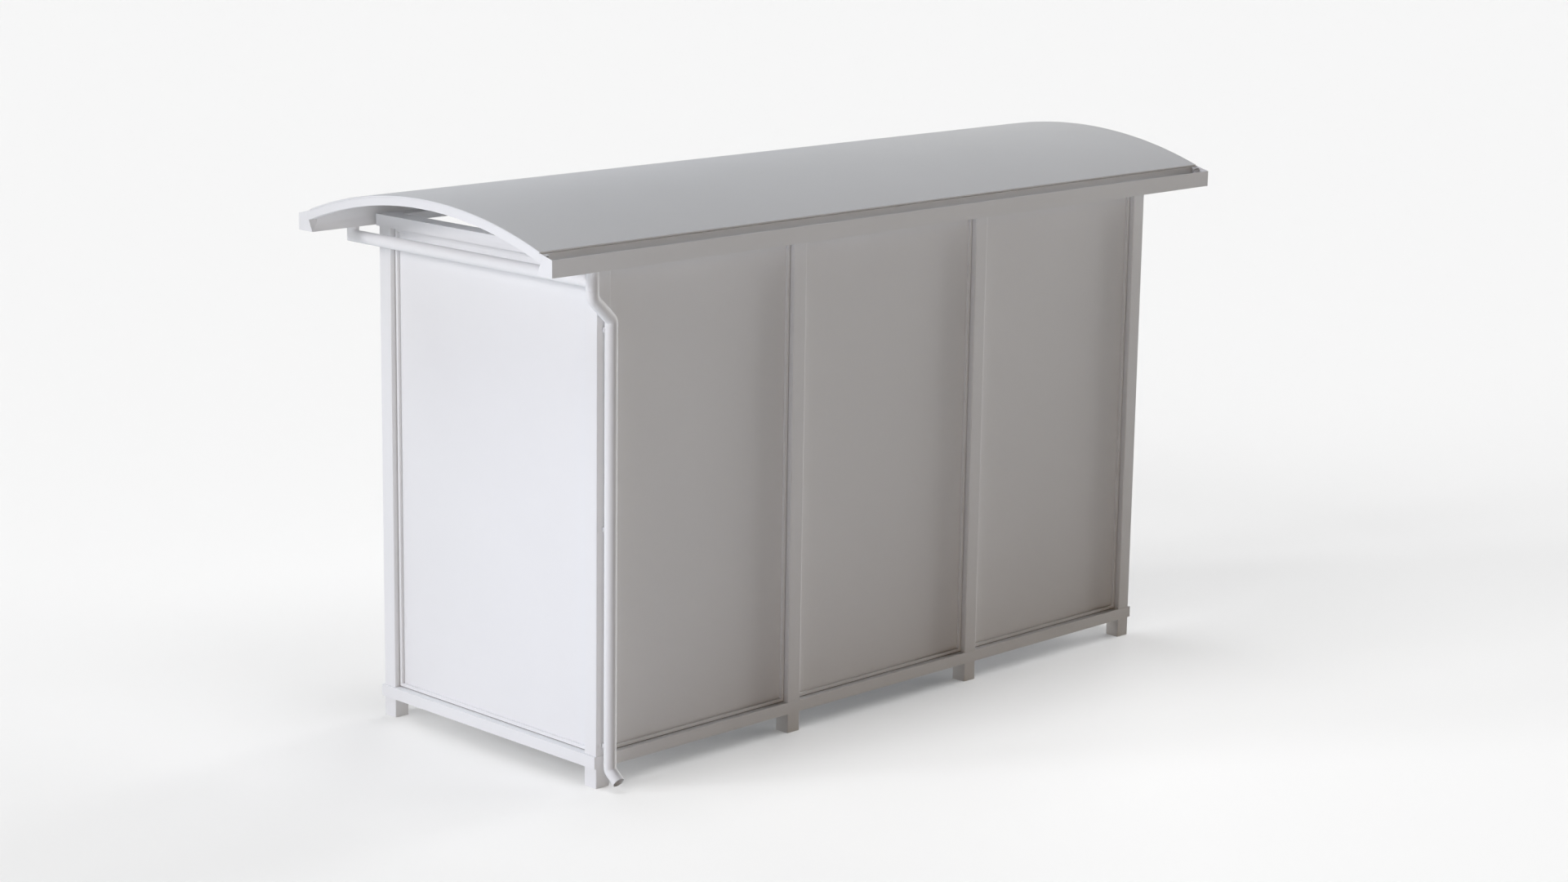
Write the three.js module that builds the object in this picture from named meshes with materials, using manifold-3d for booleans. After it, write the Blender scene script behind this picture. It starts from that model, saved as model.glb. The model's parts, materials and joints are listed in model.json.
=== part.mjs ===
// A free-standing waiting shelter: square posts, panelled back and ends, an open front,
// a low arched roof with a gutter along each long side, and a rainwater pipe at one end.
// Millimetres. +Z is up, the back wall is on +Y, the open front on -Y, and the ground is Z = 0.
import * as THREE from "three";
import { mergeVertices } from "three/addons/utils/BufferGeometryUtils.js";
import Module from "manifold-3d";

// Driving dimensions.
const frameLength = 3750;
const frameDepth = 1516;
const bayCount = 3;
const fitGap = 0.3;

const postSize = 80;
const postWall = 4;
const postCornerRadius = 5;
const footHeight = 30;
const footCornerRadius = 3;

const railWall = 3;
const bottomRailBase = 94.5;
const bottomRailHeight = 56;
const topRailBase = 2363.5;
const topRailHeight = 55;
const headerBase = 2385;
const endRailProud = 12;
const rearRailProud = 3;
const frontRailProud = 7;
const railDrainRadius = 20;

const beadSetback = 26;
const beadWidth = 19;
const beadDepth = 34;
const rebateWidth = 4;
const rebateDepth = 6;
const panelSetback = 40;
const panelThickness = 4;
const panelGrip = 10;

const roofLength = 4477;
const roofRadius = 2400;
const roofCentreHeight = 205.5;
const sheetThickness = 8;
const sheetHalfWidth = 801;
const ribDepth = 37;
const ribWidth = 40;
const ribWall = 3;
const arcSteps = 32;
const ribPitch = 1250;
const saddleInset = 10;
const saddleGap = 0.6;

const gutterInnerBottom = 782.5;
const gutterOuter = 882.4;
const gutterBase = 2364.6;
const gutterOuterTop = 2442;
const gutterWallLean = THREE.MathUtils.degToRad(25);
const gutterWallSheetGap = 0.8;
const gutterThickness = 3;
const flangeStart = 785;
const upperWallInner = 800;
const endWallTop = 2446;
const capThickness = 3;
const capPeak = 2463;

const pipeRadius = 28.5;
const pipeBore = 26;
const pipeSides = 20;
const crossPipeX = 1968;
const crossPipeY = 832.5;
const crossPipeHeight = 2316.5;
const elbowLeg = 50;
const branchBottom = 2275;
const offsetTop = 2243;
const offsetBottom = 2131;
const offsetEnd = 2095;
const downpipeX = 1835;
const downpipeY = 806;
const downpipeBottom = 130;
const shoeElbowHeight = 93;
const shoeOutletHeight = 48;
const shoeOutletY = 864;
const bracketHeights = [198, 1190, 2083];
const bracketBand = 20;
const bracketRing = 2.5;
const bracketReach = 14;
const bracketArmWidth = 16;

const halfLength = frameLength / 2;
const halfDepth = frameDepth / 2;
const innerLength = halfLength - postSize;
const innerDepth = halfDepth - postSize;
const bayPitch = frameLength / bayCount;
const roofEnd = roofLength / 2;
const sheetUnderside = roofRadius - sheetThickness;
const ribTop = sheetUnderside - fitGap;
const ribUnderside = roofRadius - sheetThickness - ribDepth;
const bottomRailTop = bottomRailBase + bottomRailHeight;
const topRailTop = topRailBase + topRailHeight;
const middlePostX = [-bayPitch / 2, bayPitch / 2];
const cornerPostX = halfLength - postSize / 2;
const postLineY = halfDepth - postSize / 2;

const shelter = new THREE.Group();
shelter.name = "waiting_shelter";

const looks = {
  post: { color: 0xd6d7d9, roughness: 0.5, metalness: 0.1 },
  rail: { color: 0xd9dadc, roughness: 0.5, metalness: 0.1 },
  bead: { color: 0xd2d3d5, roughness: 0.45, metalness: 0.1 },
  panel: { color: 0xdcdddf, roughness: 0.35, metalness: 0.0 },
  roof: { color: 0xdadbdd, roughness: 0.45, metalness: 0.1 },
  gutter: { color: 0xd3d4d6, roughness: 0.5, metalness: 0.1 },
  pipe: { color: 0xdee0e4, roughness: 0.4, metalness: 0.0 },
  foot: { color: 0x8c8e91, roughness: 0.6, metalness: 0.3 },
};

const wasm = await Module();
wasm.setup();

// Turns a closed geometry into a solid that can be joined and cut.
function solidOf(geometry) {
  const bare = geometry.clone();
  bare.deleteAttribute("normal");
  bare.deleteAttribute("uv");
  const merged = mergeVertices(bare, 1e-3);
  return new wasm.Manifold(
    new wasm.Mesh({
      numProp: 3,
      vertProperties: new Float32Array(merged.attributes.position.array),
      triVerts: new Uint32Array(merged.index.array),
    }),
  );
}

function geometryOf(solid) {
  const mesh = solid.getMesh();
  const geometry = new THREE.BufferGeometry();
  geometry.setAttribute("position", new THREE.BufferAttribute(mesh.vertProperties, mesh.numProp));
  geometry.setIndex(new THREE.BufferAttribute(mesh.triVerts, 1));
  const faceted = geometry.toNonIndexed();
  faceted.computeVertexNormals();
  return faceted;
}

function addPart(name, geometry, look) {
  const mesh = new THREE.Mesh(geometry, new THREE.MeshStandardMaterial(looks[look]));
  mesh.name = name;
  shelter.add(mesh);
}

// A box between two corners.
function block(x0, x1, y0, y1, z0, z1) {
  const geometry = new THREE.BoxGeometry(x1 - x0, y1 - y0, z1 - z0);
  geometry.translate((x0 + x1) / 2, (y0 + y1) / 2, (z0 + z1) / 2);
  return geometry;
}

function blockSolid(...limits) {
  return solidOf(block(...limits));
}

// An outline drawn in the YZ plane, extruded along X from x0 to x1.
function slabAlongX(outline, x0, x1) {
  const shape = new THREE.Shape(outline.map(([y, z]) => new THREE.Vector2(y, z)));
  const geometry = new THREE.ExtrudeGeometry(shape, { depth: x1 - x0, bevelEnabled: false });
  const alongX = new THREE.Matrix4().makeBasis(
    new THREE.Vector3(0, 1, 0),
    new THREE.Vector3(0, 0, 1),
    new THREE.Vector3(1, 0, 0),
  );
  geometry.applyMatrix4(alongX);
  geometry.translate(x0, 0, 0);
  return geometry;
}

function mirrorOutline(outline) {
  return outline.map(([y, z]) => [-y, z]).reverse();
}

// The rounded square outline of a tube or plug, as points that turn anticlockwise.
function roundedSquare(size, radius) {
  const reach = size / 2 - radius;
  const shape = new THREE.Shape();
  shape.absarc(reach, reach, radius, 0, Math.PI / 2);
  shape.absarc(-reach, reach, radius, Math.PI / 2, Math.PI);
  shape.absarc(-reach, -reach, radius, Math.PI, Math.PI * 1.5);
  shape.absarc(reach, -reach, radius, Math.PI * 1.5, Math.PI * 2);
  return shape;
}

function upright(shape, height, x, y, base) {
  const geometry = new THREE.ExtrudeGeometry(shape, {
    depth: height,
    bevelEnabled: false,
    curveSegments: 3,
  });
  geometry.translate(x, y, base);
  return geometry;
}

// Every post's place: two front corners, two rear corners and the rear middle posts.
function postPlaces() {
  const places = [
    { name: "front_left", x: cornerPostX, y: -postLineY },
    { name: "front_right", x: -cornerPostX, y: -postLineY },
    { name: "rear_left", x: cornerPostX, y: postLineY },
    { name: "rear_right", x: -cornerPostX, y: postLineY },
  ];
  middlePostX.forEach((x, index) => {
    places.push({ name: `rear_middle_${index + 1}`, x, y: postLineY });
  });
  return places;
}

function addPosts() {
  const bore = postSize - 2 * postWall;
  for (const place of postPlaces()) {
    const tube = roundedSquare(postSize, postCornerRadius);
    tube.holes.push(roundedSquare(bore, footCornerRadius));
    addPart(`post_${place.name}`, upright(tube, topRailBase - fitGap, place.x, place.y, 0), "post");
    const plug = roundedSquare(bore - 2 * fitGap, footCornerRadius);
    addPart(`foot_${place.name}`, upright(plug, footHeight, place.x, place.y, 0), "foot");
  }
}

// The square column that a rail leaves free for a post.
function postNotch(x, y, base, top) {
  const reach = postSize / 2 + fitGap;
  return blockSolid(x - reach, x + reach, y - reach, y + reach, base - 1, top + 1);
}

// A hollow bottom rail at one end of the shelter, notched round its two corner posts.
function addEndBottomRail(side, name) {
  const base = bottomRailBase;
  const top = bottomRailTop;
  const outer = halfLength + endRailProud;
  const front = -halfDepth - frontRailProud;
  const xs = [side * innerLength, side * outer].sort((a, b) => a - b);
  let rail = blockSolid(xs[0], xs[1], front, halfDepth, base, top);
  rail = rail.subtract(
    blockSolid(xs[0] + railWall, xs[1] - railWall, -innerDepth - 1, innerDepth + 1,
      base + railWall, top - railWall),
  );
  for (const y of [-postLineY, postLineY]) {
    rail = rail.subtract(postNotch(side * cornerPostX, y, base, top));
  }
  addPart(name, geometryOf(rail), "rail");
}

// The rear bottom rail. Its outer face runs on past the corner posts and covers the end rails' ends.
function addRearBottomRail() {
  const base = bottomRailBase;
  const top = bottomRailTop;
  const end = innerLength - fitGap;
  const faceEnd = halfLength + endRailProud;
  const rear = halfDepth + rearRailProud;
  let rail = blockSolid(-end, end, innerDepth, rear, base, top);
  rail = rail.add(blockSolid(-faceEnd, faceEnd, halfDepth + fitGap, rear, base, top));
  rail = rail.subtract(
    blockSolid(-end - 1, end + 1, innerDepth + railWall, halfDepth - railWall,
      base + railWall, top - railWall),
  );
  for (const x of middlePostX) {
    rail = rail.subtract(postNotch(x, postLineY, base, top));
  }
  addPart("bottom_rail_rear", geometryOf(rail), "rail");
}

// A top rail at one end. Its hollow drains through a hole over each post's bore.
function addEndTopRail(side, name) {
  const front = -halfDepth - frontRailProud;
  const rear = halfDepth + rearRailProud;
  const xs = [side * innerLength, side * (halfLength + endRailProud)].sort((a, b) => a - b);
  let rail = blockSolid(xs[0], xs[1], front, rear, topRailBase, topRailTop);
  rail = rail.subtract(
    blockSolid(xs[0] + railWall, xs[1] - railWall, front + railWall, rear - railWall,
      topRailBase + railWall, topRailTop - railWall),
  );
  for (const y of [-postLineY, postLineY]) {
    const drain = new THREE.CylinderGeometry(railDrainRadius, railDrainRadius, 4 * railWall, 16);
    drain.rotateX(Math.PI / 2);
    drain.translate(side * cornerPostX, y, topRailBase);
    rail = rail.subtract(solidOf(drain));
  }
  addPart(name, geometryOf(rail), "rail");
}

// A straight hollow rail between the end rails, open at both ends.
function addCrossRail(name, y0, y1, base) {
  const end = innerLength - fitGap;
  const tube = blockSolid(-end, end, y0, y1, base, topRailTop);
  const bore = blockSolid(-end - 1, end + 1, y0 + railWall, y1 - railWall,
    base + railWall, topRailTop - railWall);
  addPart(name, geometryOf(tube.subtract(bore)), "rail");
}

function addRails() {
  addEndBottomRail(1, "bottom_rail_left");
  addEndBottomRail(-1, "bottom_rail_right");
  addRearBottomRail();
  addEndTopRail(1, "top_rail_left");
  addEndTopRail(-1, "top_rail_right");
  addCrossRail("top_rail_rear", innerDepth, halfDepth + rearRailProud, topRailBase);
  addCrossRail("front_header", -halfDepth, -innerDepth, headerBase);
}

// A bay is drawn flat: u runs along the wall, and d is the distance in from the posts' outer faces.
// place turns the flat limits into limits along X, Y and Z.
function addBay(name, u0, u1, place) {
  const z0 = bottomRailTop + fitGap;
  const z1 = topRailBase - fitGap;
  const a = u0 + fitGap;
  const b = u1 - fitGap;
  const back = beadSetback + beadDepth;
  const ring = (inset, d0, d1) =>
    blockSolid(...place(a + inset, b - inset, d0, d1), z0 + inset, z1 - inset);

  const panelIn = panelSetback + panelThickness;
  let frame = ring(0, beadSetback, back);
  frame = frame.subtract(ring(beadWidth, beadSetback - 1, back + 1));
  frame = frame.subtract(
    ring(beadWidth - panelGrip, panelSetback - fitGap, panelIn + fitGap),
  );
  const rebate = ring(-1, beadSetback - 1, beadSetback + rebateDepth).subtract(
    ring(rebateWidth, beadSetback - 2, beadSetback + rebateDepth + 1),
  );
  frame = frame.subtract(rebate);
  addPart(`panel_frame_${name}`, geometryOf(frame), "bead");

  const edge = beadWidth - panelGrip + fitGap;
  const sheet = block(...place(a + edge, b - edge, panelSetback, panelIn), z0 + edge, z1 - edge);
  addPart(`panel_${name}`, sheet, "panel");
}

function addBays() {
  const postReach = postSize / 2;
  const stops = [-innerLength - postReach, ...middlePostX, innerLength + postReach];
  for (let bay = 0; bay < bayCount; bay += 1) {
    const u0 = stops[bay] + postReach;
    const u1 = stops[bay + 1] - postReach;
    addBay(`rear_${bay + 1}`, u0, u1, (a, b, d0, d1) => [a, b, halfDepth - d1, halfDepth - d0]);
  }
  addBay("left", -innerDepth, innerDepth, (a, b, d0, d1) => [
    halfLength - d1, halfLength - d0, a, b,
  ]);
  addBay("right", -innerDepth, innerDepth, (a, b, d0, d1) => [
    -halfLength + d0, -halfLength + d1, a, b,
  ]);
}

function pointOnArc(radius, y) {
  return [y, roofCentreHeight + Math.sqrt(radius * radius - y * y)];
}

// Points of the roof's arc at one radius, from -angle to +angle.
function roofArc(radius, angle, steps) {
  const points = [];
  for (let i = 0; i <= steps; i += 1) {
    const turn = -angle + (2 * angle * i) / steps;
    points.push([radius * Math.sin(turn), roofCentreHeight + radius * Math.cos(turn)]);
  }
  return points;
}

function arcBand(outerRadius, innerRadius, outerAngle, innerAngle) {
  const top = roofArc(outerRadius, outerAngle, arcSteps);
  const bottom = roofArc(innerRadius, innerAngle, arcSteps);
  return [...bottom, ...top.reverse()];
}

// Where the gutter's leaning inner wall, moved by shift towards the rib, meets a circle of the roof.
function angleAtWall(radius, shift) {
  const start = new THREE.Vector2(
    gutterInnerBottom - shift * Math.cos(gutterWallLean),
    gutterBase + shift * Math.sin(gutterWallLean) - roofCentreHeight,
  );
  const lean = new THREE.Vector2(Math.sin(gutterWallLean), Math.cos(gutterWallLean));
  const along = start.dot(lean);
  const reach = -along + Math.sqrt(along * along - start.lengthSq() + radius * radius);
  const hit = start.addScaledVector(lean, reach);
  return Math.atan2(hit.x, hit.y);
}

function addRoofSheet() {
  const angle = Math.asin(sheetHalfWidth / roofRadius);
  const band = arcBand(roofRadius, sheetUnderside, angle, angle);
  addPart("roof_sheet", slabAlongX(band, -roofEnd, roofEnd), "roof");
}

// An end rib runs out to the gutter's leaning line. The others stop short of its upper wall.
function addRib(name, x0, atEnd) {
  const outline = arcBand(
    ribTop, ribUnderside, angleAtWall(ribTop, fitGap), angleAtWall(ribUnderside, fitGap),
  );
  const openEnd = angleAtWall(ribUnderside, -ribWall);
  const bore = arcBand(ribTop - ribWall, ribUnderside + ribWall, openEnd * 1.02, openEnd * 1.02);
  let rib = solidOf(slabAlongX(outline, x0, x0 + ribWidth)).subtract(
    solidOf(slabAlongX(bore, x0 + ribWall, x0 + ribWidth - ribWall)),
  );
  if (!atEnd) {
    for (const seat of [wallSeat(), mirrorOutline(wallSeat())]) {
      rib = rib.subtract(solidOf(slabAlongX(seat, x0 - 1, x0 + ribWidth + 1)));
    }
  }
  addPart(name, geometryOf(rib), "roof");
}

// A saddle stands on a rail and follows the rib's underside.
function addSaddle(name, x, side) {
  const radius = ribUnderside - saddleGap;
  const from = innerDepth + saddleInset;
  const to = halfDepth - saddleInset;
  const steps = 4;
  const outline = [[from, topRailTop + fitGap], [to, topRailTop + fitGap]];
  for (let i = 0; i <= steps; i += 1) {
    const y = to + ((from - to) * i) / steps;
    outline.push(pointOnArc(radius, y));
  }
  const placed = side > 0 ? outline : mirrorOutline(outline);
  addPart(name, slabAlongX(placed, x - ribWidth / 2, x + ribWidth / 2), "roof");
}

function addRibs() {
  addRib("end_rib_left", roofEnd - ribWidth, true);
  addRib("end_rib_right", -roofEnd, true);
  const lines = [ribPitch, 0, -ribPitch];
  lines.forEach((x, index) => {
    addRib(`rib_${index + 1}`, x - ribWidth / 2, false);
    addSaddle(`saddle_front_${index + 1}`, x, -1);
    addSaddle(`saddle_rear_${index + 1}`, x, 1);
  });
}

// How high the leaning wall has risen where it reaches y.
function leanHeight(y) {
  return gutterBase + (y - gutterInnerBottom) / Math.tan(gutterWallLean);
}

// The room an inner rib leaves for the gutter's upper wall and the flange on top of it.
function wallSeat() {
  const from = flangeStart - fitGap;
  const wall = upperWallInner - fitGap;
  const clear = sheetUnderside - gutterWallSheetGap - gutterThickness - fitGap;
  const top = roofCentreHeight + roofRadius;
  const beyond = gutterOuter;
  return [
    pointOnArc(clear, from),
    pointOnArc(clear, wall),
    [wall, gutterBase],
    [beyond, gutterBase],
    [beyond, top],
    [from, top],
  ];
}

// The gutter in section: a flat bottom, an outer wall, and an inner wall that leans and then stands
// upright to a flange on which the roof sheet's edge rests.
function troughOutline() {
  const t = gutterThickness;
  const floor = gutterBase + t;
  const slant = t / Math.cos(gutterWallLean);
  const innerFoot = gutterInnerBottom + slant + t * Math.tan(gutterWallLean);
  const upperOuter = upperWallInner + t;
  const top = sheetUnderside - gutterWallSheetGap;
  return [
    [gutterInnerBottom, gutterBase],
    [gutterOuter, gutterBase],
    [gutterOuter, gutterOuterTop],
    [gutterOuter - t, gutterOuterTop],
    [gutterOuter - t, floor],
    [innerFoot, floor],
    [upperOuter, leanHeight(upperOuter - slant)],
    pointOnArc(top, upperOuter),
    pointOnArc(top, flangeStart),
    pointOnArc(top - t, flangeStart),
    pointOnArc(top - t, upperWallInner),
    [upperWallInner, leanHeight(upperWallInner)],
  ];
}

// The room the gutter leaves for an end rib: all that lies inside the leaning wall's line.
function endRibSeat() {
  const top = roofCentreHeight + roofRadius;
  const from = flangeStart - 1;
  return [
    [from, leanHeight(from)],
    [gutterOuter, leanHeight(gutterOuter)],
    [gutterOuter, Math.max(top, leanHeight(gutterOuter) + 1)],
    [from, top],
  ];
}

// At an end rib the leaning wall runs on up beside the rib's end.
function endWallOutline() {
  const slant = gutterThickness / Math.cos(gutterWallLean);
  const from = upperWallInner - gutterThickness;
  const to = gutterInnerBottom + (endWallTop - gutterBase) * Math.tan(gutterWallLean);
  return [
    [from, leanHeight(from)],
    [from + slant, leanHeight(from)],
    [to + slant, leanHeight(to)],
    [to, leanHeight(to)],
  ];
}

function addGutter(name, side) {
  const placed = side > 0 ? troughOutline() : mirrorOutline(troughOutline());
  const seat = side > 0 ? endRibSeat() : mirrorOutline(endRibSeat());
  const endWall = side > 0 ? endWallOutline() : mirrorOutline(endWallOutline());
  const end = roofEnd - capThickness - fitGap;
  const ribFace = roofEnd - ribWidth - fitGap;
  const outlet = new THREE.CylinderGeometry(pipeBore, pipeBore, 4 * gutterThickness, pipeSides);
  outlet.rotateX(Math.PI / 2);
  outlet.translate(crossPipeX, side * crossPipeY, gutterBase);
  const trough = solidOf(slabAlongX(placed, -end, end))
    .subtract(solidOf(slabAlongX(seat, ribFace, roofEnd)))
    .subtract(solidOf(slabAlongX(seat, -roofEnd, -ribFace)))
    .add(solidOf(slabAlongX(endWall, ribFace, end)))
    .add(solidOf(slabAlongX(endWall, -end, -ribFace)))
    .subtract(solidOf(outlet));
  addPart(name, geometryOf(trough), "gutter");
}

// A cap closes the gutter's end, and rises beside the roof sheet's edge.
function addCap(name, side, end) {
  const beside = sheetHalfWidth + fitGap;
  const ribCorner = angleAtWall(sheetUnderside, 0);
  const outline = [
    [gutterInnerBottom, gutterBase],
    [gutterOuter, gutterBase],
    [gutterOuter, gutterOuterTop],
    [beside, capPeak],
    pointOnArc(sheetUnderside, beside),
    pointOnArc(sheetUnderside, sheetUnderside * Math.sin(ribCorner)),
  ];
  const placed = side > 0 ? outline : mirrorOutline(outline);
  const x0 = end > 0 ? roofEnd - capThickness : -roofEnd;
  addPart(name, slabAlongX(placed, x0, x0 + capThickness), "gutter");
}

function addGutters() {
  addGutter("gutter_front", -1);
  addGutter("gutter_rear", 1);
  addCap("gutter_cap_front_left", -1, 1);
  addCap("gutter_cap_front_right", -1, -1);
  addCap("gutter_cap_rear_left", 1, 1);
  addCap("gutter_cap_rear_right", 1, -1);
}

// A round bar along a bent line of points that lie in one plane, mitred at each bend:
// each ring of the bar's surface lies in the plane that halves the bend.
function mitredBar(points, radius, planeNormal) {
  const last = points.length - 1;
  const positions = [];
  const index = [];
  points.forEach((corner, i) => {
    const from = points[Math.min(i, last - 1)];
    const to = points[Math.min(i + 1, last)];
    const along = to.clone().sub(from).normalize();
    const before = i > 0 ? corner.clone().sub(points[i - 1]).normalize() : along;
    const mitre = along.clone().add(before).normalize();
    const side = new THREE.Vector3().crossVectors(along, planeNormal);
    for (let k = 0; k < pipeSides; k += 1) {
      const turn = (2 * Math.PI * k) / pipeSides;
      const rim = planeNormal.clone().multiplyScalar(radius * Math.cos(turn));
      rim.addScaledVector(side, radius * Math.sin(turn));
      rim.addScaledVector(along, -rim.dot(mitre) / along.dot(mitre));
      positions.push(...rim.add(corner).toArray());
    }
  });
  const at = (ring, k) => ring * pipeSides + (k % pipeSides);
  for (let k = 0; k < pipeSides; k += 1) {
    for (let ring = 0; ring < last; ring += 1) {
      index.push(at(ring, k), at(ring, k + 1), at(ring + 1, k + 1));
      index.push(at(ring, k), at(ring + 1, k + 1), at(ring + 1, k));
    }
  }
  for (let k = 1; k < pipeSides - 1; k += 1) {
    index.push(at(0, 0), at(0, k + 1), at(0, k));
    index.push(at(last, 0), at(last, k), at(last, k + 1));
  }
  const geometry = new THREE.BufferGeometry();
  geometry.setAttribute("position", new THREE.Float32BufferAttribute(positions, 3));
  geometry.setIndex(index);
  return solidOf(geometry);
}

// The same bar made hollow and open at both ends.
function bentPipe(points, planeNormal) {
  const longer = points.map((p) => p.clone());
  const last = longer.length - 1;
  longer[0].addScaledVector(points[0].clone().sub(points[1]).normalize(), 1);
  longer[last].addScaledVector(points[last].clone().sub(points[last - 1]).normalize(), 1);
  return mitredBar(points, pipeRadius, planeNormal).subtract(
    mitredBar(longer, pipeBore, planeNormal),
  );
}

function point(x, y, z) {
  return new THREE.Vector3(x, y, z);
}

function addFrontElbow() {
  const elbow = bentPipe(
    [
      point(crossPipeX, -crossPipeY, gutterBase - fitGap),
      point(crossPipeX, -crossPipeY, crossPipeHeight),
      point(crossPipeX, -crossPipeY + elbowLeg, crossPipeHeight),
    ],
    point(1, 0, 0),
  );
  addPart("pipe_front_elbow", geometryOf(elbow), "pipe");
}

function addCrossPipe() {
  const end = crossPipeY - elbowLeg - fitGap;
  const pipe = bentPipe(
    [point(crossPipeX, -end, crossPipeHeight), point(crossPipeX, end, crossPipeHeight)],
    point(1, 0, 0),
  );
  addPart("pipe_cross", geometryOf(pipe), "pipe");
}

// The rear outlet drops from the gutter and takes the cross pipe in at its side.
function addRearBranch() {
  const normal = point(1, 0, 0);
  const top = gutterBase - fitGap;
  const drop = [point(crossPipeX, crossPipeY, top), point(crossPipeX, crossPipeY, branchBottom)];
  const longDrop = [
    point(crossPipeX, crossPipeY, top + 1),
    point(crossPipeX, crossPipeY, branchBottom - 1),
  ];
  const axis = point(crossPipeX, crossPipeY, crossPipeHeight);
  const mouth = point(crossPipeX, crossPipeY - elbowLeg, crossPipeHeight);
  const longMouth = mouth.clone().add(point(0, -1, 0));
  const outside = mitredBar(drop, pipeRadius, normal).add(mitredBar([axis, mouth], pipeRadius, normal));
  const inside = mitredBar(longDrop, pipeBore, normal).add(
    mitredBar([axis, longMouth], pipeBore, normal),
  );
  addPart("pipe_rear_branch", geometryOf(outside.subtract(inside)), "pipe");
}

function addOffset() {
  const top = point(crossPipeX, crossPipeY, branchBottom - fitGap);
  const upper = point(crossPipeX, crossPipeY, offsetTop);
  const lower = point(downpipeX, downpipeY, offsetBottom);
  const bottom = point(downpipeX, downpipeY, offsetEnd);
  const normal = point(crossPipeY - downpipeY, downpipeX - crossPipeX, 0).normalize();
  addPart("pipe_offset", geometryOf(bentPipe([top, upper, lower, bottom], normal)), "pipe");
}

function addDownpipe() {
  const top = offsetEnd - fitGap;
  const pipe = bentPipe(
    [point(downpipeX, downpipeY, top), point(downpipeX, downpipeY, downpipeBottom)],
    point(1, 0, 0),
  );
  addPart("pipe_down", geometryOf(pipe), "pipe");
}

function addShoe() {
  const shoe = bentPipe(
    [
      point(downpipeX, downpipeY, downpipeBottom - fitGap),
      point(downpipeX, downpipeY, shoeElbowHeight),
      point(downpipeX, shoeOutletY, shoeOutletHeight),
    ],
    point(1, 0, 0),
  );
  addPart("pipe_shoe", geometryOf(shoe), "pipe");
}

// A cradle that holds the side of the downpipe nearer the post, on a short arm that meets the post.
function addBracket(name, height) {
  const inner = pipeRadius + fitGap;
  const outer = inner + bracketRing;
  const base = height - bracketBand / 2;
  const cylinder = (radius, tall) => {
    const geometry = new THREE.CylinderGeometry(radius, radius, tall, pipeSides * 2);
    geometry.rotateX(Math.PI / 2);
    geometry.translate(downpipeX, downpipeY, height);
    return solidOf(geometry);
  };
  const arm = blockSolid(
    downpipeX - bracketArmWidth / 2, downpipeX + bracketArmWidth / 2,
    halfDepth + fitGap, downpipeY, base, base + bracketBand,
  );
  const mouth = blockSolid(
    downpipeX - 2 * outer, downpipeX + 2 * outer,
    downpipeY - bracketReach, downpipeY + 2 * outer, base - 1, base + bracketBand + 1,
  );
  const clip = cylinder(outer, bracketBand)
    .add(arm)
    .subtract(cylinder(inner, 2 * bracketBand))
    .subtract(mouth);
  addPart(name, geometryOf(clip), "pipe");
}

function addPipework() {
  addFrontElbow();
  addCrossPipe();
  addRearBranch();
  addOffset();
  addDownpipe();
  addShoe();
  bracketHeights.forEach((height, index) => addBracket(`pipe_bracket_${index + 1}`, height));
}

addPosts();
addRails();
addBays();
addRoofSheet();
addRibs();
addGutters();
addPipework();

export default shelter;
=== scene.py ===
"""A waiting shelter in pale painted steel, dressed for a studio picture."""
import json
import math

import bmesh
import bpy
from mathutils import Matrix, Vector


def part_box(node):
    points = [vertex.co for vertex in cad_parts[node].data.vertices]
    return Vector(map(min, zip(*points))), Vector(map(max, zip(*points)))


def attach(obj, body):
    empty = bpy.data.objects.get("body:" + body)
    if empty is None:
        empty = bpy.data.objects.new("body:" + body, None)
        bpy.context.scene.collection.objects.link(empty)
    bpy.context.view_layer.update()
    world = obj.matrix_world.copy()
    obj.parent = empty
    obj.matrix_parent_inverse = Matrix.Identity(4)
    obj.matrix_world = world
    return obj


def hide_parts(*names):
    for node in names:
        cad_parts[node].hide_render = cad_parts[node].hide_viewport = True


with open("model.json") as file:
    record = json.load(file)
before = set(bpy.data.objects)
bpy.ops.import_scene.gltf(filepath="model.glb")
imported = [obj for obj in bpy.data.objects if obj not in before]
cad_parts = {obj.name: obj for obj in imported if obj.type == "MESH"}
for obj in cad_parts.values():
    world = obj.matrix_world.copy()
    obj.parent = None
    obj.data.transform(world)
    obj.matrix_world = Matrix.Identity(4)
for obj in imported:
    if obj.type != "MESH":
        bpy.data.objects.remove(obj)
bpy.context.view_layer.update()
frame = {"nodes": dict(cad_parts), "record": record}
scene = bpy.context.scene
scene.view_settings.view_transform = "Standard"

MM = 0.001

# ------------------------------------------------------------------ camera

CAMERA_AZIMUTH = math.radians(134.8225)
CAMERA_ELEVATION = math.radians(12.496)
CAMERA_ROLL = math.radians(0.8646)
CAMERA_PLACE = Vector((10.8732, 10.8507, 4.5969))
CAMERA_LENS = 72.859
SENSOR_WIDTH = 36.0
CLIP_END = 500.0


def make_camera():
    data = bpy.data.cameras.new("camera")
    data.lens = CAMERA_LENS
    data.sensor_width = SENSOR_WIDTH
    data.clip_end = CLIP_END
    a, e = CAMERA_AZIMUTH, CAMERA_ELEVATION
    back = Vector((math.sin(a) * math.cos(e), -math.cos(a) * math.cos(e), math.sin(e)))
    right = Vector((math.cos(a), math.sin(a), 0.0))
    up = back.cross(right)
    right_rolled = right * math.cos(CAMERA_ROLL) + up * math.sin(CAMERA_ROLL)
    up_rolled = back.cross(right_rolled)
    turn = Matrix((right_rolled, up_rolled, back)).transposed().to_4x4()
    camera = bpy.data.objects.new("camera", data)
    scene.collection.objects.link(camera)
    camera.matrix_world = Matrix.Translation(CAMERA_PLACE) @ turn
    scene.camera = camera


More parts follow.
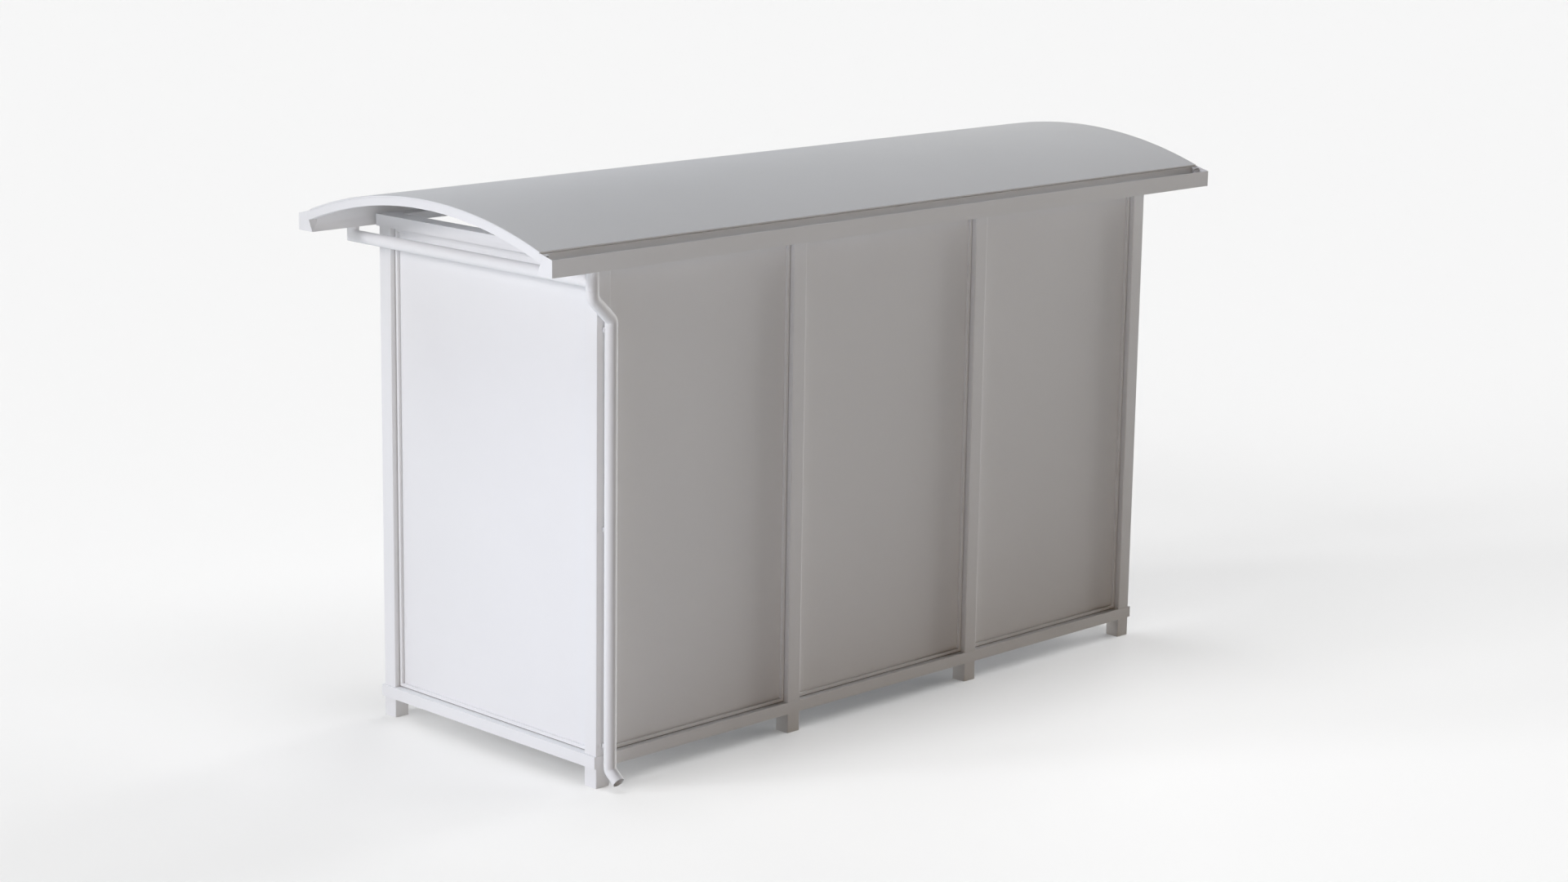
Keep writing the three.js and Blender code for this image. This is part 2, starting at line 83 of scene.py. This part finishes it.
# ------------------------------------------------------------- node helpers


class Nodes:
    """Builds a node tree with short calls.

    A link is given as (node, output name or index). An input is named by its label with _ for each
    space, or as i and its number.
    """

    def __init__(self, owner):
        owner.use_nodes = True
        self.tree = owner.node_tree
        self.tree.nodes.clear()

    def add(self, kind, settings=None, **inputs):
        made = self.tree.nodes.new(kind)
        for key, value in (settings or {}).items():
            setattr(made, key, value)
        for key, value in inputs.items():
            self.feed(made, key.replace("_", " "), value)
        return made

    def feed(self, made, socket, value):
        by_number = socket[:1] == "i" and socket[1:].isdigit()
        target = made.inputs[int(socket[1:]) if by_number else socket]
        if isinstance(value, tuple) and value and isinstance(value[0], bpy.types.Node):
            self.tree.links.new(value[0].outputs[value[1]], target)
        else:
            target.default_value = value

    def math(self, operation, a, b):
        made = self.add("ShaderNodeMath", {"operation": operation}, i0=a, i1=b)
        return (made, 0)

    def noise(self, place, scale, detail=3.0, roughness=0.5):
        made = self.add("ShaderNodeTexNoise", Scale=scale, Detail=detail, Roughness=roughness)
        self.feed(made, "Vector", place)
        return (made, "Fac")

    def remap(self, value, low, high, to_low, to_high):
        made = self.add("ShaderNodeMapRange", {"clamp": True})
        for index, number in enumerate((value, low, high, to_low, to_high)):
            self.feed(made, f"i{index}", number)
        return (made, 0)

    def blend(self, share, first, second, mode="MIX"):
        made = self.add("ShaderNodeMix", {"data_type": "RGBA", "blend_type": mode})
        self.feed(made, "i0", share)
        self.feed(made, "i6", first)
        self.feed(made, "i7", second)
        return (made, 2)


# ------------------------------------------------------------------- studio

FLOOR_SIZE = 400.0
FLOOR_DROP = 0.2 * MM

# Grey levels of the backdrop, of the floor that is seen and of the floor that throws light back.
BACKDROP = 0.927
FLOOR_SHOWN = 0.836
FLOOR_BOUNCE = 0.80

# Distant soft lamps on the object: azimuth from +X towards +Y and height in degrees, the lamp's
# apparent size in degrees, and its strength in red, green and blue.
OBJECT_LAMPS = (
    (60, 8, 30, (0.078, 0.052, 0.026)),
    (180, 8, 30, (1.344, 1.34, 1.33)),
    (210, 8, 30, (0.054, 0.052, 0.047)),
    (240, 8, 30, (0.047, 0.047, 0.048)),
    (300, 60, 30, (0.300, 0.325, 0.315)),
    (330, 60, 30, (0.020, 0.020, 0.055)),
    (-30, 18, 12, (0.065, 0.058, 0.055)),
    (-15, 18, 12, (0.335, 0.330, 0.345)),
)

# Soft boxes that stand before the +X end: distance from the end's bottom rail, range along Y, range
# of height, all in metres, and strength in red, green and blue.
SOFT_BOXES = (
    (1.5, (-1.5, 0.0), (0.05, 3.05), (0.395, 0.418, 0.420)),
    (1.5, (0.0, 1.5), (0.05, 3.05), (0.535, 0.563, 0.577)),
    (3.0, (0.0, 3.0), (0.05, 3.05), (0.255, 0.280, 0.370)),
)

# Distant soft lamps that light only the floor the camera sees: azimuth, height, size and strength.
FLOOR_LAMPS = (
    (0, 8, 30, 0.096), (150, 8, 30, 0.389), (180, 8, 30, 0.924), (210, 8, 30, 0.547),
    (0, 30, 30, 0.222), (30, 30, 30, 0.24), (330, 60, 30, 0.148), (0, 90, 30, 0.23),
    (90, 60, 30, 0.12), (-30, 8, 12, 0.167), (-15, 8, 12, 0.333), (0, 8, 12, 0.081),
    (-30, 18, 12, 0.157),
)


def floor_sheet(name, height, tone):
    """A matt grey square at the given height, centred under the shelter."""
    mesh = bpy.data.meshes.new(name)
    half = FLOOR_SIZE / 2
    corners = [(-half, -half, height), (half, -half, height), (half, half, height),
               (-half, half, height)]
    mesh.from_pydata(corners, [], [(0, 1, 2, 3)])
    floor = bpy.data.objects.new(name, mesh)
    scene.collection.objects.link(floor)
    paper = bpy.data.materials.new(name)
    n = Nodes(paper)
    matt = n.add("ShaderNodeBsdfDiffuse", Color=(tone, tone, tone, 1.0))
    n.add("ShaderNodeOutputMaterial", Surface=(matt, 0))
    mesh.materials.append(paper)
    return floor


def make_floor():
    """Two sheets: the upper one is seen by the camera, the lower one throws light on the object."""
    seen = floor_sheet("floor_paper", 0.0, FLOOR_SHOWN)
    seen.visible_diffuse = False
    seen.visible_glossy = False
    seen.visible_transmission = False
    seen.visible_shadow = False
    under = floor_sheet("floor_bounce", -FLOOR_DROP, FLOOR_BOUNCE)
    under.visible_camera = False
    under.visible_shadow = False
    return seen


def make_surroundings():
    """The world gives no light of its own. The camera sees it as the floor's own tone."""
    world = bpy.data.worlds.new("studio")
    scene.world = world
    n = Nodes(world)
    dark = n.add("ShaderNodeBackground", Color=(0, 0, 0, 1), Strength=1.0)
    shown = n.add("ShaderNodeBackground", Color=(BACKDROP, BACKDROP, BACKDROP, 1), Strength=1.0)
    path = n.add("ShaderNodeLightPath")
    seen = (path, "Is Camera Ray")
    mix = n.add("ShaderNodeMixShader", i0=seen, i1=(dark, 0), i2=(shown, 0))
    n.add("ShaderNodeOutputWorld", Surface=(mix, 0))


def link_to_floor(lamp, floor, state):
    """Lets a lamp light only the floor that is seen (INCLUDE) or everything else (EXCLUDE)."""
    receivers = bpy.data.collections.new(f"{lamp.name}_receivers")
    receivers.objects.link(floor)
    lamp.light_linking.receiver_collection = receivers
    receivers.collection_objects[0].light_linking.link_state = state


def place_lamp(name, kind, strength):
    """A lamp with its colour scaled so that the strongest of red, green and blue is 1."""
    data = bpy.data.lights.new(name, kind)
    peak = max(strength)
    data.energy = math.pi * peak
    data.color = tuple(c / peak for c in strength)
    lamp = bpy.data.objects.new(name, data)
    scene.collection.objects.link(lamp)
    return lamp


def add_sun(name, azimuth, height, spread, strength):
    """A distant lamp. A white sheet that faces it reflects its strength."""
    lamp = place_lamp(name, "SUN", strength)
    lamp.data.angle = math.radians(spread)
    turn = math.radians(azimuth)
    rise = math.radians(height)
    towards = Vector((math.cos(turn) * math.cos(rise), math.sin(turn) * math.cos(rise),
                      math.sin(rise)))
    lamp.rotation_euler = towards.to_track_quat("Z", "Y").to_euler()
    return lamp


def add_soft_box(name, distance, across, heights, strength):
    """An upright rectangle of light that faces the +X end, at a distance from its bottom rail."""
    lamp = place_lamp(name, "AREA", strength)
    lamp.data.shape = "RECTANGLE"
    lamp.data.size = across[1] - across[0]
    lamp.data.size_y = heights[1] - heights[0]
    lamp.data.energy *= lamp.data.size * lamp.data.size_y
    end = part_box("bottom_rail_left")[1].x
    lamp.rotation_euler = Vector((-1, 0, 0)).to_track_quat("-Z", "Y").to_euler()
    lamp.location = (end + distance, sum(across) / 2, sum(heights) / 2)
    lamp.visible_camera = False
    return lamp


def make_lamps(floor):
    for index, (azimuth, height, spread, strength) in enumerate(OBJECT_LAMPS):
        lamp = add_sun(f"object_lamp_{index}", azimuth, height, spread, strength)
        link_to_floor(lamp, floor, "EXCLUDE")
    for index, (distance, across, heights, strength) in enumerate(SOFT_BOXES):
        lamp = add_soft_box(f"soft_box_{index}", distance, across, heights, strength)
        link_to_floor(lamp, floor, "EXCLUDE")
    for index, (azimuth, height, spread, strength) in enumerate(FLOOR_LAMPS):
        lamp = add_sun(f"floor_lamp_{index}", azimuth, height, spread, (strength,) * 3)
        link_to_floor(lamp, floor, "INCLUDE")


# ---------------------------------------------------------------- materials

PALE = (0.80, 0.80, 0.81)
GASKET_GREY = (0.30, 0.29, 0.285)

# Dust fades out at DUST_HEIGHT metres above the ground.
DUST = (0.36, 0.32, 0.27, 1)
DUST_HEIGHT = 0.42
DUST_FALL = 2.2

# How far the paint's tone strays, as a share.
GRAIN = 0.006

# Scale, in cells per metre, of each noise in the paint: tone, cloudiness, rubbed patches and peel.
DRIFT = 1.7
CLOUD = 23.0
RUB = 60.0
PEEL = 420.0

# Edges are found by the dot product of the true normal and one rounded over RUB_RADIUS. The paint is
# rubbed fully where it is RUB_WHOLE or less, and not at all where it is RUB_NONE or more.
RUB_RADIUS = 3.2 * MM
RUB_WHOLE = 0.82
RUB_NONE = 0.995


def painted(name, roughness, peel=0.12, dirt=0.05, wear=0.1, gloss=0.35):
    """Satin paint: slow colour drift, orange peel, dust near the ground and rubbed edges."""
    material = bpy.data.materials.new(name)
    n = Nodes(material)
    place = (n.add("ShaderNodeTexCoord"), "Object")
    drift = n.noise(place, DRIFT, 4.0)
    cloud = n.noise(place, CLOUD, 4.0)
    speck = n.noise(place, PEEL, 2.0)
    darker = tuple(c * (1 - GRAIN * 2.2) for c in PALE) + (1,)
    lighter = tuple(c * (1 + GRAIN) for c in PALE) + (1,)
    colour = n.blend(n.remap(drift, 0.3, 0.7, 0.0, 1.0), darker, lighter)
    mottle = n.remap(cloud, 0.25, 0.75, 1 - GRAIN * 0.8, 1.0)
    colour = n.blend(1.0, colour, mottle, "MULTIPLY")
    height = (n.add("ShaderNodeSeparateXYZ", Vector=place), "Z")
    low = n.remap(height, 0.0, DUST_HEIGHT, 1.0, 0.0)
    low = n.math("MULTIPLY", n.math("POWER", low, DUST_FALL), n.remap(cloud, 0.3, 0.7, 0.35, 1.0))
    colour = n.blend(n.math("MULTIPLY", low, dirt), colour, DUST)
    surface = n.add("ShaderNodeNewGeometry")
    round_edge = n.add("ShaderNodeBevel", {"samples": 4}, Radius=RUB_RADIUS)
    facing = n.add("ShaderNodeVectorMath", {"operation": "DOT_PRODUCT"},
                   i0=(round_edge, 0), i1=(surface, "Normal"))
    edge = n.remap((facing, "Value"), RUB_WHOLE, RUB_NONE, 1.0, 0.0)
    patches = n.remap(n.noise(place, RUB, 5.0, 0.7), 0.42, 0.68, 0.0, wear)
    rubbed = n.math("MULTIPLY", edge, patches)
    colour = n.blend(rubbed, colour, tuple(c * 1.12 for c in PALE) + (1,))
    shine = n.remap(cloud, 0.2, 0.8, roughness - 0.05, roughness + 0.06)
    shine = n.math("ADD", shine, n.math("MULTIPLY", low, 0.12))
    height_map = n.math("ADD", n.math("MULTIPLY", speck, 0.6), n.math("MULTIPLY", cloud, 0.25))
    bump = n.add("ShaderNodeBump", Strength=peel, Distance=0.4 * MM, Height=height_map)
    shader = n.add("ShaderNodeBsdfPrincipled", Base_Color=colour, Roughness=shine,
                   Normal=(bump, 0), Specular_IOR_Level=gloss)
    n.add("ShaderNodeOutputMaterial", Surface=(shader, 0))
    return material


def rubber(name, base):
    """Weathered grey rubber for gaskets: chalky patches and a fine skin."""
    material = bpy.data.materials.new(name)
    n = Nodes(material)
    place = (n.add("ShaderNodeTexCoord"), "Object")
    cloud = n.noise(place, 40.0, 5.0, 0.6)
    fine = n.noise(place, 900.0, 2.0)
    pale = tuple(c * 1.25 for c in base) + (1,)
    colour = n.blend(n.remap(cloud, 0.3, 0.7, 0.0, 1.0), base + (1,), pale)
    shine = n.remap(cloud, 0.2, 0.8, 0.6, 0.8)
    bump = n.add("ShaderNodeBump", Strength=0.3, Distance=0.2 * MM, Height=fine)
    shader = n.add("ShaderNodeBsdfPrincipled", Base_Color=colour, Roughness=shine,
                   Normal=(bump, 0))
    n.add("ShaderNodeOutputMaterial", Surface=(shader, 0))
    return material


def make_materials():
    return {
        "posts": painted("post_paint", 0.45),
        "rails": painted("rail_paint", 0.45),
        "beads": painted("bead_paint", 0.45),
        "ribs": painted("rib_paint", 0.45, dirt=0.0),
        "gutters": painted("gutter_paint", 0.45, dirt=0.0),
        "panels": painted("panel_skin", 0.42, peel=0.05, wear=0.0),
        "roof": painted("roof_skin", 0.42, peel=0.05, dirt=0.0),
        "pipes": painted("pipe_plastic", 0.60, peel=0.04, gloss=0.12),
        "feet": painted("foot_paint", 0.50, peel=0.2, dirt=0.08),
        "gasket": rubber("gasket_rubber", GASKET_GREY),
    }


# ------------------------------------------------------------- mesh helpers

SHARP = math.radians(35)
FLAT = math.radians(0.4)
WELD = 0.01 * MM


def piece(name, bm, material, replaced=()):
    """Turns a bmesh into a piece of the object that rides on the root body."""
    mesh = bpy.data.meshes.new(name)
    bmesh.ops.recalc_face_normals(bm, faces=bm.faces)
    for face in bm.faces:
        face.smooth = True
    bm.to_mesh(mesh)
    bm.free()
    mesh.materials.append(materials[material])
    made = bpy.data.objects.new(name, mesh)
    scene.collection.objects.link(made)
    weighted = made.modifiers.new("flat_faces", "WEIGHTED_NORMAL")
    weighted.weight = 100
    weighted.keep_sharp = True
    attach(made, "root")
    if replaced:
        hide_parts(*replaced)


def round_edges(bm, edges, size, segments):
    bmesh.ops.bevel(bm, geom=edges, offset=size, offset_type="OFFSET", segments=segments,
                    profile=0.5, affect="EDGES", clamp_overlap=True)


def soften(bm, size):
    """Rounds every sharp edge by the same small size."""
    edges = [e for e in bm.edges if e.is_manifold and e.calc_face_angle(0.0) > SHARP]
    round_edges(bm, edges, size, 2)


def node_bmesh(node):
    """A CAD node's surface with its triangles joined into flat faces."""
    bm = bmesh.new()
    bm.from_mesh(frame["nodes"][node].data)
    bmesh.ops.remove_doubles(bm, verts=bm.verts, dist=WELD)
    bmesh.ops.dissolve_limit(bm, angle_limit=FLAT, verts=bm.verts, edges=bm.edges)
    return bm


def round_ends(bm, size):
    """Rounds the upper edges that lie in the two end planes, at the greatest and least X."""
    for end in (min(v.co.x for v in bm.verts), max(v.co.x for v in bm.verts)):
        edges = [e for e in bm.edges if all(abs(v.co.x - end) < WELD for v in e.verts)
                 and any(f.normal.z > 0.5 for f in e.link_faces)]
        round_edges(bm, edges, size, 5)


def dress(node, slot, edge, ends=0.0):
    """Stands for a CAD node with the same shape, its edges rounded."""
    bm = node_bmesh(node)
    if ends:
        round_ends(bm, ends)
    soften(bm, edge)
    piece(f"{node}_skin", bm, slot, [node])


def loop_points(size, radius, steps):
    """A rounded square about the origin, anticlockwise."""
    points = []
    corners = ((1, 1, 0), (-1, 1, 90), (-1, -1, 180), (1, -1, 270))
    for sx, sy, start in corners:
        cx = sx * (size / 2 - radius)
        cy = sy * (size / 2 - radius)
        for i in range(steps + 1):
            turn = math.radians(start + 90 * i / steps)
            points.append((cx + radius * math.cos(turn), cy + radius * math.sin(turn)))
    return points


def join_rings(bm, first, second):
    """Joins two rings of as many points by a band of faces."""
    count = len(first)
    for i in range(count):
        j = (i + 1) % count
        bm.faces.new((first[i], first[j], second[j], second[i]))


def tube_bmesh(rings_outer, rings_inner):
    """A tube from matching outer and inner rings of points, with flat ends."""
    bm = bmesh.new()
    outer = [[bm.verts.new(p) for p in ring] for ring in rings_outer]
    inner = [[bm.verts.new(p) for p in ring] for ring in rings_inner]
    for a, b in zip(outer, outer[1:]):
        join_rings(bm, a, b)
    for a, b in zip(inner, inner[1:]):
        join_rings(bm, b, a)
    join_rings(bm, inner[0], outer[0])
    join_rings(bm, outer[-1], inner[-1])
    return bm


# ------------------------------------------------------------------- pieces

POST_WALL = 4 * MM
POST_CORNER = 5 * MM
POST_BORE_CORNER = 3 * MM
POST_CORNER_STEPS = 6
POST_RIM = 0.6 * MM


def make_posts():
    """Square tubes with the rounded corners of rolled section."""
    for node in [n for n in frame["nodes"] if n.startswith("post_")]:
        low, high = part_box(node)
        middle = (low + high) / 2
        size = high.x - low.x
        bore = size - 2 * POST_WALL
        outline = loop_points(size, POST_CORNER, POST_CORNER_STEPS)
        hollow = loop_points(bore, POST_BORE_CORNER, POST_CORNER_STEPS)
        outer = []
        inner = []
        for z, inset in ((low.z, POST_RIM), (low.z + POST_RIM, 0),
                         (high.z - POST_RIM, 0), (high.z, POST_RIM)):
            shrink = 1 - 2 * inset / size
            outer.append([(middle.x + x * shrink, middle.y + y * shrink, z) for x, y in outline])
            inner.append([(middle.x + x, middle.y + y, z) for x, y in hollow])
        piece(f"{node}_tube", tube_bmesh(outer, inner), "posts", [node])


# Edge rounding in mm for each slot whose nodes keep their CAD shape.
EDGES = {"rails": 0.5, "beads": 0.7, "panels": 0.5, "ribs": 0.8, "gutters": 0.5, "roof": 0.35,
         "feet": 1.5}
SHEET_NOSE = 5.0 * MM


def make_carried_parts():
    """Every part but the posts and the pipes. The roof sheet's end edges have a wide nose."""
    for entry in frame["record"]["subparts"]:
        slot = entry["material_slot"]
        if slot in EDGES:
            ends = SHEET_NOSE if slot == "roof" else 0.0
            dress(entry["node"], slot, EDGES[slot] * MM, ends)


def sweep_round(profile, corners, outward):
    """Sweeps a profile of (across, depth) points round a rectangle, with mitred corners."""
    bm = bmesh.new()
    middle = sum(corners, Vector()) / 4
    rings = []
    for corner in corners:
        towards = middle - corner
        steps = Vector([math.copysign(1, c) if abs(c) > MM else 0 for c in towards])
        rings.append([bm.verts.new(corner + steps * across - outward * depth)
                      for across, depth in profile])
    for index in range(4):
        join_rings(bm, rings[index], rings[(index + 1) % 4])
    return bm


GROOVE_WIDTH = 4 * MM
GROOVE_DEPTH = 6 * MM
GASKET_RISE = 2.6 * MM
GASKET_CROWN = 0.5 * MM
GASKET_GAP = 0.05 * MM


def make_gaskets():
    """A rubber strip at the bottom of the groove round each panel frame."""
    left = GASKET_GAP
    right = GROOVE_WIDTH - 2 * GASKET_GAP
    top = GROOVE_DEPTH - GASKET_RISE
    bottom = GROOVE_DEPTH - GASKET_GAP
    shoulder = top + GASKET_CROWN
    profile = [(left, bottom), (right, bottom), (right, shoulder), (right - GASKET_CROWN, top),
               (GASKET_CROWN, top), (left, shoulder)]
    for node in [n for n in frame["nodes"] if n.startswith("panel_frame_")]:
        low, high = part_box(node)
        if "rear" in node:
            outward = Vector((0, 1, 0))
            corners = [Vector((x, high.y, z)) for x, z in
                       ((low.x, low.z), (high.x, low.z), (high.x, high.z), (low.x, high.z))]
        else:
            side = 1 if high.x > 0 else -1
            outward = Vector((side, 0, 0))
            face = high.x if side > 0 else low.x
            corners = [Vector((face, y, z)) for y, z in
                       ((low.y, low.z), (high.y, low.z), (high.y, high.z), (low.y, high.z))]
        bm = sweep_round(profile, corners, outward)
        piece(f"{node}_gasket", bm, "gasket")


PIPE_WALL = 2.5 * MM
PIPE_SIDES = 48
OFFSET_TOP = 2243 * MM
OFFSET_BOTTOM = 2131 * MM
OFFSET_BEND = 31 * MM
SHOE_ELBOW = 93 * MM
SHOE_OUTLET_HEIGHT = 48 * MM
SHOE_OUTLET_Y = 864 * MM
SHOE_BEND = 30 * MM
BRANCH_EDGE = 0.5 * MM
BRACKET_EDGE = 0.6 * MM


def bend_path(corners, radius, steps):
    """The corners joined by straight runs, with an arc of the given radius in each bend."""
    path = [corners[0]]
    for before, corner, after in zip(corners, corners[1:], corners[2:]):
        arriving = (corner - before).normalized()
        leaving = (after - corner).normalized()
        half = arriving.angle(leaving) / 2
        reach = radius * math.tan(half)
        centre = corner + (leaving - arriving).normalized() * (radius / math.cos(half))
        start = corner - arriving * reach
        axis = arriving.cross(leaving).normalized()
        for i in range(steps + 1):
            turn = Matrix.Rotation(2 * half * i / steps, 3, axis)
            path.append(centre + turn @ (start - centre))
    path.append(corners[-1])
    return path


def pipe_rings(path, radius, across):
    """Rings of points round a path that lies in the plane with normal across."""
    rings = []
    last = len(path) - 1
    for i, point in enumerate(path):
        arriving = (path[max(i, 1)] - path[max(i, 1) - 1]).normalized()
        leaving = (path[min(i + 1, last)] - path[min(i, last - 1)]).normalized()
        mitre = (arriving + leaving).normalized()
        side = leaving.cross(across)
        ring = []
        for k in range(PIPE_SIDES):
            turn = 2 * math.pi * k / PIPE_SIDES
            rim = across * (radius * math.cos(turn)) + side * (radius * math.sin(turn))
            rim -= leaving * (rim.dot(mitre) / leaving.dot(mitre))
            ring.append(point + rim)
        rings.append(ring)
    return rings


def make_pipe(node, corners, across=Vector((1, 0, 0)), bend=0.0, steps=6):
    """A pipe along corners that lie in the plane with normal across, mitred where bend is 0."""
    low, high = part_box("pipe_down")
    radius = (high.x - low.x) / 2
    path = bend_path(corners, bend, steps) if bend else corners
    outer = pipe_rings(path, radius, across)
    inner = pipe_rings(path, radius - PIPE_WALL, across)
    bm = tube_bmesh(outer, inner)
    for edge in bm.edges:
        edge.smooth = edge.calc_face_angle(0.0) < SHARP
    piece(f"{node}_tube", bm, "pipes", [node])


def make_pipework():
    low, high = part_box("pipe_cross")
    cross = (low + high) / 2
    make_pipe("pipe_cross", [
        Vector((cross.x, low.y, cross.z)),
        Vector((cross.x, high.y, cross.z)),
    ])
    low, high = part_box("pipe_down")
    down = (low + high) / 2
    radius = (high.x - low.x) / 2
    make_pipe("pipe_down", [
        Vector((down.x, down.y, high.z)),
        Vector((down.x, down.y, low.z)),
    ])
    low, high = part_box("pipe_front_elbow")
    make_pipe("pipe_front_elbow", [
        Vector((cross.x, low.y + radius, high.z)),
        Vector((cross.x, low.y + radius, cross.z)),
        Vector((cross.x, high.y, cross.z)),
    ])
    drop_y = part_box("pipe_rear_branch")[1].y - radius
    low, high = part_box("pipe_offset")
    corners = [
        Vector((cross.x, drop_y, high.z)),
        Vector((cross.x, drop_y, OFFSET_TOP)),
        Vector((down.x, down.y, OFFSET_BOTTOM)),
        Vector((down.x, down.y, low.z)),
    ]
    sideways = (corners[2] - corners[1]).cross(Vector((0, 0, 1))).normalized()
    make_pipe("pipe_offset", corners, sideways, OFFSET_BEND)
    low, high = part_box("pipe_shoe")
    make_pipe("pipe_shoe", [
        Vector((down.x, down.y, high.z)),
        Vector((down.x, down.y, SHOE_ELBOW)),
        Vector((down.x, SHOE_OUTLET_Y, SHOE_OUTLET_HEIGHT)),
    ], bend=SHOE_BEND, steps=10)
    dress("pipe_rear_branch", "pipes", BRANCH_EDGE)
    for node in [n for n in frame["nodes"] if n.startswith("pipe_bracket")]:
        dress(node, "pipes", BRACKET_EDGE)


make_camera()
shown_floor = make_floor()
make_surroundings()
make_lamps(shown_floor)
materials = make_materials()
make_posts()
make_carried_parts()
make_gaskets()
make_pipework()
